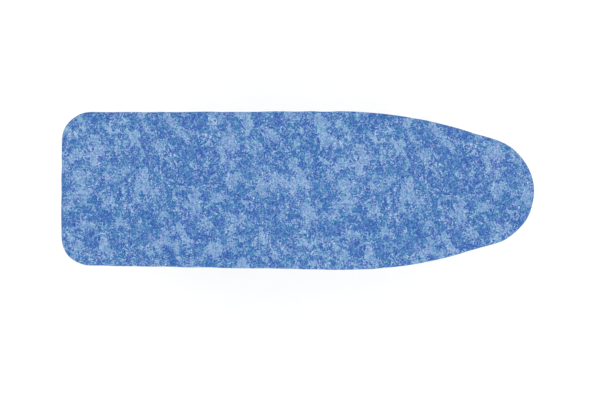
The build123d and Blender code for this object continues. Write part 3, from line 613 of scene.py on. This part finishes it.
# %% The thread, and all the stitches
# Spun polyester, twisted from two plies: a soft sheen, and a fine slant every 0.7 mm
thread, tree, shader = new_material(
    "spun_polyester_thread", {"Roughness": 0.6, "Sheen Weight": 0.2}
)
place = add_node(tree, "TexCoord", {}, "Object")
inputs = {"Vector": place, "Scale": 900.0}
twist = add_node(tree, "TexWave", inputs, "Fac", bands_direction="DIAGONAL")
tone = add_node(tree, "Mix", {0: twist, 6: "#CFD5E0", 7: "#F0F2F5"}, 2, data_type="RGBA")
twist = add_node(tree, "Bump", {"Height": twist, "Distance": 0.05 * MM})
feed(shader, {"Base Color": tone, "Normal": twist})
stitch_points, stitch_faces = [], []
for k in range(stitch_count):
    points, faces = stitch(k * seam_reached[-1] / stitch_count)
    stitch_faces += [tuple(len(stitch_points) + i for i in face) for face in faces]
    stitch_points += points
stitches = new_piece("hem_stitches", stitch_points, stitch_faces, thread)
tidy_mesh(stitches, nearest=0.001 * MM)
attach(stitches, "top")
print(f"{stitch_count} stitches")

# %% The elastic, round the inside of the hem
ELASTIC_WIDTH = 5 * MM
ELASTIC_THICKNESS = 1 * MM
LIFT = 0.2 * MM  # keeps the band inside its casing
upper = [(0.0, 0.25), (0.06, 0.5), (0.94, 0.5), (1.0, 0.25)]  # shares of its width and thickness
elastic_rows = []
for in_share, up in upper + [(in_share, -up) for in_share, up in reversed(upper)]:
    row = ring(elastic_inset + in_share * ELASTIC_WIDTH, elastic_z + up * ELASTIC_THICKNESS)
    elastic_rows.append(row + (0, 0, LIFT))
elastic_faces = strip([*elastic_rows, elastic_rows[0]])
last = len(elastic_rows) * FINE
elastic_faces = [tuple(i % last for i in face) for face in elastic_faces]
print("elastic:", len(elastic_faces), "faces")

# %% The elastic's braid
# Rubber cores braided over with white yarn: soft slanting ribs every 2 mm along the band
braid, tree, shader = new_material("braided_elastic", {"Roughness": 0.75, "Sheen Weight": 0.25})
band = add_node(tree, "UVMap", {}, uv_map="cloth")
inputs = {"Vector": band, "Scale": 320.0}
ribs = add_node(tree, "TexWave", inputs, "Fac", bands_direction="DIAGONAL")
tone = add_node(tree, "Mix", {0: ribs, 6: "#D9D8D2", 7: "#F3F2EE"}, 2, data_type="RGBA")
ribs = add_node(tree, "Bump", {"Height": ribs, "Distance": 0.2 * MM})
feed(shader, {"Base Color": tone, "Normal": ribs})
elastic = new_piece("hem_elastic_band", np.concatenate(elastic_rows), elastic_faces, braid)
band_layout = elastic.data.uv_layers.new(name="cloth")
for loop, place in zip(elastic.data.loops, band_layout.data):
    row, step = divmod(loop.vertex_index, FINE)
    place.uv = (step * girth / FINE, row * ELASTIC_WIDTH / 4)
tidy_mesh(elastic)
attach(elastic, "top")
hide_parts("hem_elastic")
print(braid.name, "has", len(tree.nodes), "nodes")

# %% The felt pad
PAD_ROUND = 5 * MM
PRESSED = 0.3 * MM  # how much thinner the cover's pull makes the top
FRAYED = 0.25 * MM  # how far the cut edge is from even
FRAYS_PER_METRE = 90
TUCKED = 1 * MM  # how far in the underside starts
TOP_ROWS, UNDER_ROWS = 12, 4
pad_low, pad_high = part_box("felt_pad")
pad_inset = pad_low.x - cover_low.x
pad_thickness = pad_high.z - pad_low.z
pad_rows = [
    top_ring(k / TOP_ROWS, pad_inset + PAD_ROUND, pad_high.z - PRESSED) for k in range(TOP_ROWS)
]
for angle in quarter:
    flat = (outline - outward * (pad_inset + PAD_ROUND * (1 - math.sin(angle))))[::SKIP]
    looked_up = [Vector((*place, 1.0)) for place in flat * FRAYS_PER_METRE]
    fray = FRAYED * np.array([min(noise.noise(place), 0) for place in looked_up])
    flat = flat + outward[::SKIP] * fray[:, None]
    height = pad_high.z - pad_thickness * (1 - math.cos(angle))
    height -= PRESSED * (1 - angle / quarter[-1])
    pad_rows.append(np.column_stack([flat, np.full(COARSE, height)]))
for k in range(UNDER_ROWS, -1, -1):
    flat = top_ring(k / UNDER_ROWS, pad_inset + TUCKED, 0)[:, :2]
    pad_rows.append(np.column_stack([flat, np.full(COARSE, pad_low.z)]))
print(len(pad_rows), "rings in the felt")

# %% The felt itself
# Polyester, needled until its fibres lock: matt, grey-white, with a fleck of darker fibre
felt, tree, shader = new_material(
    "needled_felt", {"Roughness": 0.95, "Sheen Weight": 0.3, "Sheen Roughness": 0.6}
)
place = add_node(tree, "TexCoord", {}, "Object")
soft = {"Vector": place, "Roughness": SOFTNESS}
inputs = {**soft, "Scale": 1 / (1.6 * MM), "Detail": 3, "Distortion": 2.0}
fibres = add_node(tree, "TexNoise", inputs)
inputs = {**soft, "Scale": 1 / (5 * MM), "Detail": 4, "Distortion": 1.0}
flecks = add_node(tree, "MapRange", {0: add_node(tree, "TexNoise", inputs), 1: 0.58, 2: 0.66})
tone = add_node(tree, "Mix", {0: fibres, 6: "#C3C1BA", 7: "#E6E4DE"}, 2, data_type="RGBA")
tone = add_node(tree, "Mix", {0: flecks, 6: tone, 7: "#B3B0A9"}, 2, data_type="RGBA")
fibres = add_node(tree, "Bump", {"Height": fibres, "Distance": 0.5 * MM})
feed(shader, {"Base Color": tone, "Normal": fibres})
pad = new_piece("felt_pad_soft", np.concatenate(pad_rows), strip(pad_rows), felt)
tidy_mesh(pad)
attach(pad, "top")
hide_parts("felt_pad")
print("felt:", [round(d / MM, 1) for d in pad.dimensions])

# %% [markdown]
# ## Moulded plastic
#
# The feet stand in plastic caps, pushed over the tubes' ends and ribbed so that they grip floor
# and hand. The release lever ends in a plastic grip with ridges between the fingers. Both are
# modelled as by hand: a cylinder or a box at its size and place, cut across, then pushed in or
# rounded a band at a time. One cap is made, and the others are copies of it, mirrored for the
# right-hand side.

# %% Polypropylene
# From a spark-eroded mould: a fine satin grain, scuffed paler where it is handled
plastic, tree, shader = new_material("moulded_polypropylene", {"IOR": 1.49})
place = add_node(tree, "TexCoord", {}, "Object")
soft = {"Vector": place, "Roughness": SOFTNESS}
grain = add_node(tree, "TexNoise", {**soft, "Scale": 1 / (0.9 * MM), "Detail": 2})
inputs = {**soft, "Scale": 1 / (24 * MM), "Detail": 5, "Distortion": 0.8}
scuff = add_node(tree, "MapRange", {0: add_node(tree, "TexNoise", inputs), 1: 0.52, 2: 0.72})
tone = add_node(tree, "Mix", {0: scuff, 6: "#2F3C54", 7: "#43516C"}, 2, data_type="RGBA")
dullness = add_node(tree, "MapRange", {0: scuff, 3: 0.44, 4: 0.62})
grain = add_node(tree, "Bump", {"Height": grain, "Distance": 0.06 * MM})
feed(shader, {"Base Color": tone, "Roughness": dullness, "Normal": grain})
print(plastic.name, "has", len(tree.nodes), "nodes")


# %% Helpers for choosing what to shape, and for finishing a piece
def choose(piece, wanted):
    """Selects, in edit mode, the faces whose middle and normal pass the test."""
    bpy.ops.object.mode_set(mode="OBJECT")
    for part in (piece.data.vertices, piece.data.edges):
        part.foreach_set("select", [False] * len(part))
    for face in piece.data.polygons:
        face.select = bool(wanted(face.center, face.normal))
    bpy.ops.object.mode_set(mode="EDIT")
    bpy.ops.mesh.select_mode(type="FACE")


def choose_edges(piece, wanted):
    """Selects, in edit mode, the edges whose two ends pass the test."""
    bpy.ops.object.mode_set(mode="OBJECT")
    spots = piece.data.vertices
    for part in (spots, piece.data.polygons):
        part.foreach_set("select", [False] * len(part))
    for edge in piece.data.edges:
        edge.select = bool(wanted(*(spots[i].co for i in edge.vertices)))
    bpy.ops.object.mode_set(mode="EDIT")
    bpy.ops.mesh.select_mode(type="EDGE")


def cut_across(places, normal):
    """Cuts the whole mesh in edit mode at each point, across the normal."""
    for place in places:
        bpy.ops.mesh.select_all(action="SELECT")
        bpy.ops.mesh.bisect(plane_co=place, plane_no=normal)


def finish_piece(piece, name, body, slot, material, *nodes, sharp=35):
    """Sets a shaped piece at the origin, shades it and hands it to the frame."""
    work_on(piece)
    bpy.ops.object.transform_apply(location=True, rotation=True, scale=True)
    piece.name = name
    piece.data.materials.clear()
    piece.data.materials.append(material)
    tidy_mesh(piece)
    bpy.ops.object.shade_smooth_by_angle(angle=math.radians(sharp))
    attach(piece, body)
    if nodes:
        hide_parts(*nodes)
    print(name, len(piece.data.polygons), "faces")


def copied(piece, move, flip=False):
    """A copy of a piece, with its own mesh, moved and if asked mirrored to the other side."""
    twin = piece.copy()
    twin.data = piece.data.copy()
    bpy.context.scene.collection.objects.link(twin)
    for vertex in twin.data.vertices:
        if flip:
            vertex.co.y = -vertex.co.y
        vertex.co += move
    return twin


# %% One foot cap: a cylinder, hollow from the inner end and rounded at the outer one
CAP_WALL = 3 * MM
SLIGHT = 0.01 * MM  # finds the points that lie at an end
cap_low, cap_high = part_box("outer_foot_cap_left")
cap_middle = (cap_low + cap_high) / 2
cap_radius = (cap_high.x - cap_low.x) / 2
cap_length = cap_high.y - cap_low.y
pick_nothing()
bpy.ops.mesh.primitive_cylinder_add(
    vertices=64,
    radius=cap_radius,
    depth=cap_length,
    location=cap_middle,
    rotation=(math.pi / 2, 0, 0),
)
cap = bpy.context.object
bpy.ops.object.transform_apply(location=True, rotation=True, scale=True)
choose(cap, lambda middle, normal: normal.y < -0.9)
bpy.ops.mesh.inset(thickness=CAP_WALL - 0.05 * MM)
deep = (0, cap_length - CAP_WALL, 0)
bpy.ops.mesh.extrude_region_move(TRANSFORM_OT_translate={"value": deep})
choose_edges(cap, lambda a, b: min(a.y, b.y) > cap_high.y - SLIGHT)
bpy.ops.mesh.bevel(offset=CAP_WALL, segments=5)
print(f"cap: {2 * cap_radius / MM:.0f} mm across, {cap_length / MM:.0f} mm long")

# %% Its grooves
GROOVES = 5
GROOVE_WIDTH = 2.6 * MM
GROOVE_DEPTH = 0.9 * MM
GROOVE_SLOPE = 0.45 * MM
FIRST_GROOVE = 3.5 * MM  # from the cap's inner end
SMOOTH_ENDS = 9 * MM  # the length without grooves, both ends together
SKIN = 0.5 * MM
groove_pitch = (cap_length - SMOOTH_ENDS) / GROOVES
groove_starts = [cap_low.y + FIRST_GROOVE + k * groove_pitch for k in range(GROOVES)]
cut_across([(0, y + side, 0) for y in groove_starts for side in (0, GROOVE_WIDTH)], (0, 1, 0))


def in_groove(middle, normal):
    """Whether a face lies on the cap's outer skin, in a groove's band."""
    radius = math.hypot(middle.x - cap_middle.x, middle.z - cap_middle.z)
    in_band = any(y < middle.y < y + GROOVE_WIDTH for y in groove_starts)
    return radius > cap_radius - SKIN and in_band


choose(cap, in_groove)
bpy.ops.mesh.inset(thickness=GROOVE_SLOPE, depth=-GROOVE_DEPTH, use_even_offset=True)
plastic_slot = ("moulded_plastic", plastic)
finish_piece(cap, "outer_foot_cap_left_ribbed", "outer_leg", *plastic_slot, "outer_foot_cap_left")

# %% The other three caps
for leg, side in (("outer", "right"), ("inner", "left"), ("inner", "right")):
    node = f"{leg}_foot_cap_{side}"
    low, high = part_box(node)
    flip = side == "right"
    start = Vector((cap_middle.x, -cap_middle.y if flip else cap_middle.y, cap_middle.z))
    twin = copied(cap, (low + high) / 2 - start, flip)
    finish_piece(twin, f"{node}_ribbed", f"{leg}_leg", *plastic_slot, node)

# %% The lever's grip: a box with its edges rounded
GRIP_ROUND, END_ROUND, START_ROUND = 5 * MM, 4 * MM, 1.2 * MM
grip_low, grip_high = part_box("lever_grip")
grip_middle = (grip_low + grip_high) / 2
grip_size = grip_high - grip_low
pick_nothing()
bpy.ops.mesh.primitive_cube_add(size=1, location=grip_middle, scale=grip_size)
grip = bpy.context.object
bpy.ops.object.transform_apply(location=True, rotation=True, scale=True)
choose_edges(grip, lambda a, b: abs(a.x - b.x) > grip_size.x / 2)
bpy.ops.mesh.bevel(offset=GRIP_ROUND, segments=6)
choose_edges(grip, lambda a, b: min(a.x, b.x) > grip_high.x - SLIGHT)
bpy.ops.mesh.bevel(offset=END_ROUND, segments=5)
choose_edges(grip, lambda a, b: max(a.x, b.x) < grip_low.x + SLIGHT)
bpy.ops.mesh.bevel(offset=START_ROUND, segments=3)
print("grip, mm:", [round(d / MM, 1) for d in grip_size])

# %% Ridges between the fingers, underneath it
FINGERS = 4
RIDGE = 2 * MM
PLAIN_END = 8 * MM  # smooth plastic at each end
CUTS, CUT_PITCH = 32, 2.25 * MM
ridges_start = grip_low.x + PLAIN_END
cut_across([(ridges_start + k * CUT_PITCH, 0, 0) for k in range(CUTS)], (1, 0, 0))
bpy.ops.object.mode_set(mode="OBJECT")
finger_pitch = (grip_size.x - 2 * PLAIN_END) / FINGERS
for vertex in grip.data.vertices:
    way = (vertex.co.x - ridges_start) / finger_pitch
    if 0 < way < FINGERS:
        under = smooth_share((grip_middle.z - vertex.co.z) / (grip_size.z / 2))
        inside = smooth_share(6 * min(way, FINGERS - way))
        vertex.co.z -= RIDGE * under * inside * math.cos(math.pi * (way % 1)) ** 2
finish_piece(grip, "lever_grip_moulded", "release_lever", *plastic_slot, "lever_grip", sharp=50)

# %% [markdown]
# ## Steel, plated and painted, and nylon
#
# The frame's own steel shapes are right as they are, so each only gets its finish. The finish
# follows from how the part is made: tubes are powder-coated after welding, pressed sheet is cut
# from galvanised coil, and small turned parts are zinc-plated in a barrel. The clamp plate has to
# bite, so it is hardened and stays dark.

# %% Powder coat
# Polyester powder, sprayed dry on steel tube and baked to an even skin. It is a little glossier
# than paint, with a faint orange peel, and rubbed dull where hands and floors reach it.
powder, tree, shader = new_material(
    "powder_coated_steel", {"Coat Weight": 0.2, "Coat Roughness": 0.2}
)
place = add_node(tree, "TexCoord", {}, "Object")
soft = {"Vector": place, "Roughness": SOFTNESS}
peel = add_node(tree, "TexNoise", {**soft, "Scale": 1 / (2.2 * MM), "Detail": 1})
cast = add_node(tree, "TexNoise", {**soft, "Scale": 1 / (60 * MM), "Detail": 3})
inputs = {**soft, "Scale": 1 / (35 * MM), "Detail": 5, "Distortion": 0.7}
rubbed = add_node(tree, "MapRange", {0: add_node(tree, "TexNoise", inputs), 1: 0.50, 2: 0.70})
half_rubbed = add_node(tree, "Math", {0: rubbed, 1: 0.5}, operation="MULTIPLY")
tone = add_node(tree, "Mix", {0: cast, 6: "#A4ABB2", 7: "#B2B7BC"}, 2, data_type="RGBA")
tone = add_node(tree, "Mix", {0: half_rubbed, 6: tone, 7: "#989EA4"}, 2, data_type="RGBA")
dullness = add_node(tree, "MapRange", {0: rubbed, 3: 0.32, 4: 0.52})
peel = add_node(tree, "Bump", {"Height": peel, "Distance": 0.12 * MM})
feed(shader, {"Base Color": tone, "Roughness": dullness, "Normal": peel})
print(powder.name, "has", len(tree.nodes), "nodes")

# %% Galvanised sheet
# Dipped in molten zinc before it is pressed, so it has frosty crystals, each dulled differently
galvanised, tree, shader = new_material("galvanised_steel", {"Metallic": 1.0})
place = add_node(tree, "TexCoord", {}, "Object")
soft = {"Vector": place, "Roughness": SOFTNESS}
crystals = add_node(tree, "TexVoronoi", {"Vector": place, "Scale": 1 / (7 * MM)}, "Color")
shade, frost = add_node(tree, "SeparateColor", {0: crystals}).node.outputs[:2]
tone = add_node(tree, "Mix", {0: shade, 6: "#A3A9AE", 7: "#C6CACD"}, 2, data_type="RGBA")
dullness = add_node(tree, "MapRange", {0: frost, 3: 0.34, 4: 0.52})
bloom = add_node(tree, "TexNoise", {**soft, "Scale": 1 / (1.5 * MM), "Detail": 3})
bloom = add_node(tree, "Bump", {"Height": bloom, "Distance": 0.03 * MM})
feed(shader, {"Base Color": tone, "Roughness": dullness, "Normal": bloom})
print(galvanised.name, "has", len(tree.nodes), "nodes")

# %% Zinc plate
# Bright zinc on turned and cold-headed steel, passivated to a slight rainbow of blue and straw
zinc, tree, shader = new_material("zinc_plated_steel", {"Metallic": 1.0})
place = add_node(tree, "TexCoord", {}, "Object")
soft = {"Vector": place, "Roughness": SOFTNESS}
inputs = {**soft, "Scale": 1 / (14 * MM), "Detail": 2, "Distortion": 0.5}
film = add_node(tree, "MapRange", {0: add_node(tree, "TexNoise", inputs), 1: 0.35, 2: 0.65})
tone = add_node(tree, "Mix", {0: film, 6: "#C1C7CE", 7: "#CDCABF"}, 2, data_type="RGBA")
lines = add_node(tree, "TexNoise", {"Vector": place, "Scale": 1 / (1.2 * MM), "Detail": 4})
dullness = add_node(tree, "MapRange", {0: lines, 1: 0.3, 2: 0.7, 3: 0.24, 4: 0.34})
lines = add_node(tree, "Bump", {"Height": lines, "Distance": 0.02 * MM})
feed(shader, {"Base Color": tone, "Roughness": dullness, "Normal": lines})
print(zinc.name, "has", len(tree.nodes), "nodes")

# %% Hardened steel
POLISHED = 0.6  # the share of its roughness that steel keeps where it is worn


def hard_steel(name, dark, worn, roughness):
    """Steel that is dark from the oil it was quenched in, and worn bright in patches."""
    material, tree, shader = new_material(name, {"Metallic": 1.0})
    place = add_node(tree, "TexCoord", {}, "Object")
    soft = {"Vector": place, "Roughness": SOFTNESS}
    inputs = {**soft, "Scale": 1 / (6 * MM), "Detail": 5, "Distortion": 1.0}
    wear = add_node(tree, "MapRange", {0: add_node(tree, "TexNoise", inputs), 1: 0.50, 2: 0.68})
    tone = add_node(tree, "Mix", {0: wear, 6: dark, 7: worn}, 2, data_type="RGBA")
    dullness = add_node(tree, "MapRange", {0: wear, 3: roughness, 4: roughness * POLISHED})
    pits = add_node(tree, "TexNoise", {**soft, "Scale": 1 / (0.8 * MM), "Detail": 3})
    pits = add_node(tree, "Bump", {"Height": pits, "Distance": 0.03 * MM})
    feed(shader, {"Base Color": tone, "Roughness": dullness, "Normal": pits})
    print(name, "has", len(tree.nodes), "nodes")
    return material


clamp_steel = hard_steel("quenched_hard_steel", "#2E3033", "#6E7276", 0.42)
spring_steel = hard_steel("oil_tempered_spring_steel", "#5C5F63", "#8E9297", 0.34)

# %% Nylon
# Unpigmented and moulded: milky, with light going a little way in, and slick from grease
nylon, tree, shader = new_material(
    "natural_nylon",
    {"Roughness": 0.4, "IOR": 1.53, "Subsurface Weight": 0.15, "Subsurface Scale": 1.5 * MM},
)
place = add_node(tree, "TexCoord", {}, "Object")
soft = {"Vector": place, "Roughness": SOFTNESS}
milk = add_node(tree, "TexNoise", {**soft, "Scale": 1 / (9 * MM), "Detail": 3})
tone = add_node(tree, "Mix", {0: milk, 6: "#DED9C9", 7: "#EFECE2"}, 2, data_type="RGBA")
grain = add_node(tree, "TexNoise", {**soft, "Scale": 1 / (1.1 * MM), "Detail": 2})
grain = add_node(tree, "Bump", {"Height": grain, "Distance": 0.03 * MM})
feed(shader, {"Base Color": tone, "Normal": grain})
print(nylon.name, "has", len(tree.nodes), "nodes")

# %% Each of the frame's pieces gets its finish
finishes = {
    "powder_coated_steel": powder,
    "galvanised_steel": galvanised,
    "zinc_plated_steel": zinc,
    "hardened_steel": clamp_steel,
    "spring_steel": spring_steel,
    "moulded_plastic": plastic,
    "nylon": nylon,
    "printed_cotton": cotton,
    "braided_elastic": braid,
    "needled_felt": felt,
}
for subpart in frame["record"]["subparts"]:
    node = frame["nodes"][subpart["node"]]
    node.data.materials.clear()
    node.data.materials.append(finishes[subpart["material_slot"]])
print(len(frame["nodes"]), "frame pieces finished")

# %% [markdown]
# ## The brake spring and the welds
#
# The spring is one wire, wound with its last coil at each end lying flat, so that it sits square.
# A curve with a round bevel is the plainest way to bend wire, and it becomes a mesh at the end.
# Where tubes meet, the steel was welded, and each weld leaves a bead of small overlapping
# ripples. A bead is a ring whose points are slid down on to the lower tube.

# %% The brake spring
WIRE = 1.4 * MM
COILS = 8
STEPS = 32  # points in a coil
END_COIL = 1.1 * WIRE  # how much the last coil at each end is pressed together
spring_low, spring_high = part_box("brake_spring")
spring_middle = (spring_low + spring_high) / 2
coil_radius = (spring_high.y - spring_low.y - WIRE) / 2
run = spring_high.x - spring_low.x - WIRE - 2 * END_COIL
wound = bpy.data.curves.new("spring", "CURVE")
wound.dimensions = "3D"
wound.bevel_depth = WIRE / 2
wound.bevel_resolution = 4
wound.use_fill_caps = True
wire = wound.splines.new("POLY")
wire.points.add(COILS * STEPS)
for k, point in enumerate(wire.points):
    turn = k / STEPS
    pressed = END_COIL * (min(turn, 1.0) - min(COILS - turn, 1.0))
    climb = 0.25 * smooth_share((turn - 0.6) / (COILS - 1.2))
    climb += 0.75 * np.clip((turn - 1) / (COILS - 2), 0, 1)
    x = spring_low.x + WIRE / 2 + END_COIL + climb * run + pressed
    y = spring_middle.y + coil_radius * math.cos(math.tau * turn)
    z = spring_middle.z + coil_radius * math.sin(math.tau * turn)
    point.co = (x, y, z, 1)
spring = bpy.data.objects.new("brake_spring_wound", wound)
bpy.context.scene.collection.objects.link(spring)
work_on(spring)
bpy.ops.object.convert(target="MESH")
spring_slot = ("spring_steel", spring_steel)
finish_piece(spring, "brake_spring_wound", "top", *spring_slot, "brake_spring", sharp=60)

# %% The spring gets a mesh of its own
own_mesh(spring)

# %% Weld beads
BEAD = 1.5 * MM
RIPPLES = 26
SWELLING = 0.22  # how much thicker and thinner the ripples make it
LEG_TUBE_RADIUS = 11 * MM


def weld_bead(name, body, top, bottom, foot_radius):
    """A rippled bead where a slanting leg tube, whose axis runs from top to bottom, stands on a
    cross tube that lies along Y."""
    bottom = Vector(bottom)
    axis = (bottom - Vector(top)).normalized()
    aside_x = axis.cross(Vector((0, 1, 0)))
    pick_nothing()
    bpy.ops.mesh.primitive_torus_add(
        major_radius=LEG_TUBE_RADIUS,
        minor_radius=BEAD,
        major_segments=4 * RIPPLES,
        minor_segments=10,
        location=bottom,
    )
    bead = bpy.context.object
    bead.rotation_euler = axis.to_track_quat("Z", "Y").to_euler()
    bpy.ops.object.transform_apply(location=True, rotation=True, scale=True)
    for vertex in bead.data.vertices:
        along = (vertex.co - bottom).dot(axis)
        aside = vertex.co - bottom - along * axis
        rim = aside.normalized() * LEG_TUBE_RADIUS
        swell = 1 + SWELLING * math.cos(RIPPLES * math.atan2(rim.y, rim.dot(aside_x)))
        # The leg's skin meets the cross tube a little before that tube's middle
        level = rim.x * axis.x + rim.z * axis.z
        off = rim - level * axis - Vector((0, rim.y, 0))
        back = math.sqrt(max(foot_radius**2 - off.length_squared, 0))
        vertex.co = bottom + rim + (aside - rim) * swell + (along * swell - back) * axis
    finish_piece(bead, name, body, "powder_coated_steel", powder, sharp=60)


# %% A bead under each leg tube
for leg, upper in (("outer", "hinge_bolts"), ("inner", "slider_rod")):
    pin_low, pin_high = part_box(upper)
    foot_low, foot_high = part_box(f"{leg}_foot_tube")
    pin, foot = (pin_low + pin_high) / 2, (foot_low + foot_high) / 2
    for side in ("left", "right"):
        leg_y = sum(corner.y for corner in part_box(f"{leg}_leg_tube_{side}")) / 2
        top, bottom = (pin.x, leg_y, pin.z), (foot.x, leg_y, foot.z)
        foot_radius = (foot_high.z - foot_low.z) / 2
        weld_bead(f"{leg}_foot_weld_{side}", f"{leg}_leg", top, bottom, foot_radius)
